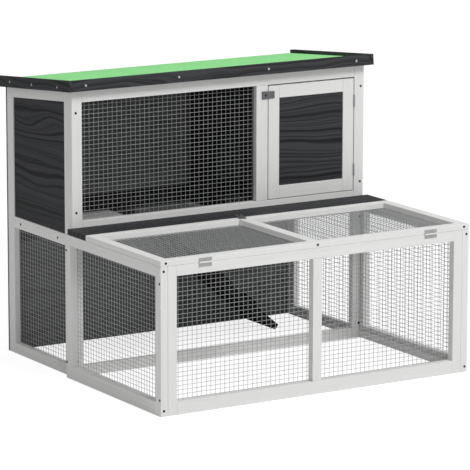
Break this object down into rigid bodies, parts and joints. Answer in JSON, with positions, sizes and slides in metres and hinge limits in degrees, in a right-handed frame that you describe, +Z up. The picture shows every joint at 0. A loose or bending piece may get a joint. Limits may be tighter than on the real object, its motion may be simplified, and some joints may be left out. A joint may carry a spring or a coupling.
{
  "type": "rabbit hutch",
  "caption": "Two-storey wooden rabbit hutch with a mesh front, a nest room door, a ramp, a hinged felt roof and a low mesh run with a hinged lid.",
  "frame": {"origin": "centre of the footprint, on the ground", "axes": "+Z up, +X to the right along the front, +Y from the run towards the house and its rear wall"},
  "size_m": [0.9352, 0.8604, 0.7839],
  "materials": {
    "whitewashed_wood": "thin white wash over softwood, matt",
    "anthracite_wood": "dark grey stain, matt, grain showing",
    "green_felt": "mineral roofing felt, matt",
    "galvanised_steel": "zinc plated, dull",
    "dark_screw": "black, semi-matt"
  },
  "bodies": {
    "hutch": {"divider": "anthracite_wood", "door_button_screw": "dark_screw", "door_hinge_lower_fixed": "galvanised_steel", "door_hinge_upper_fixed": "galvanised_steel", "floor_board": "whitewashed_wood", "front_bottom_rail": "whitewashed_wood", "front_centre_stile": "whitewashed_wood", "front_left_post": "whitewashed_wood", "front_right_post": "whitewashed_wood", "front_sill_rail": "whitewashed_wood", "front_top_rail": "whitewashed_wood", "lid_button_screw": "dark_screw", "lid_hinge_left_fixed": "galvanised_steel", "lid_hinge_right_fixed": "galvanised_steel", "ramp_hinge_fixed": "galvanised_steel", "ramp_landing": "anthracite_wood", "rear_wall": "anthracite_wood", "roof_hinge_left_fixed": "galvanised_steel", "roof_hinge_right_fixed": "galvanised_steel", "run_front_frame": "whitewashed_wood", "run_front_mesh": "galvanised_steel", "run_left_frame": "whitewashed_wood", "run_left_mesh": "galvanised_steel", "run_right_frame": "whitewashed_wood", "run_right_mesh": "galvanised_steel", "shelf_board": "anthracite_wood", "side_left_board": "anthracite_wood", "side_left_bottom_rail": "whitewashed_wood", "side_left_front_stile": "whitewashed_wood", "side_left_lower_mesh": "galvanised_steel", "side_left_mid_rail": "whitewashed_wood", "side_left_rear_stile": "whitewashed_wood", "side_left_top_rail": "whitewashed_wood", "side_right_board": "anthracite_wood", "side_right_bottom_rail": "whitewashed_wood", "side_right_front_stile": "whitewashed_wood", "side_right_lower_mesh": "galvanised_steel", "side_right_mid_rail": "whitewashed_wood", "side_right_rear_stile": "whitewashed_wood", "side_right_top_rail": "whitewashed_wood", "window_mesh": "galvanised_steel"},
    "door": {"door_frame": "whitewashed_wood", "door_board": "anthracite_wood", "door_hinge_upper_moving": "galvanised_steel", "door_hinge_lower_moving": "galvanised_steel"},
    "door_turn_button": {"door_button": "galvanised_steel"},
    "lid": {"lid_frame": "whitewashed_wood", "lid_mesh": "galvanised_steel", "lid_hinge_left_moving": "galvanised_steel", "lid_hinge_right_moving": "galvanised_steel"},
    "lid_turn_button": {"lid_button": "galvanised_steel"},
    "roof": {"roof_board": "anthracite_wood", "roof_felt": "green_felt", "fascia_front": "anthracite_wood", "fascia_left": "anthracite_wood", "fascia_right": "anthracite_wood", "roof_hinge_left_moving": "galvanised_steel", "roof_hinge_right_moving": "galvanised_steel"},
    "ramp": {"ramp_board": "anthracite_wood", "ramp_hinge_moving": "galvanised_steel"}
  },
  "joints": [
    {"name": "door_hinge", "type": "hinge", "parent": "hutch", "child": "door", "pos_m": [0.4188, 0.04765, 0.5663], "axis": [0, 0, 1], "range_deg": [0, 160]},
    {"name": "door_turn_button", "type": "hinge", "parent": "hutch", "child": "door_turn_button", "pos_m": [0.1365, 0.04975, 0.6955], "axis": [0, -1, 0], "range_deg": [-90, 90]},
    {"name": "lid_hinge", "type": "hinge", "parent": "hutch", "child": "lid", "pos_m": [0, -0.42815, 0.38115], "axis": [1, 0, 0], "range_deg": [0, 170]},
    {"name": "lid_turn_button", "type": "hinge", "parent": "hutch", "child": "lid_turn_button", "pos_m": [0.0045, -0.03245, 0.3958], "axis": [0, 0, 1], "range_deg": [-90, 90]},
    {"name": "roof_hinge", "type": "hinge", "parent": "hutch", "child": "roof", "pos_m": [0, 0.41295, 0.72447], "axis": [-1, 0, 0], "range_deg": [0, 88]},
    {"name": "ramp_hinge", "type": "hinge", "parent": "hutch", "child": "ramp", "pos_m": [-0.06731, 0.32225, 0.3313], "axis": [0, -1, 0], "range_deg": [0, 39]}
  ]
}
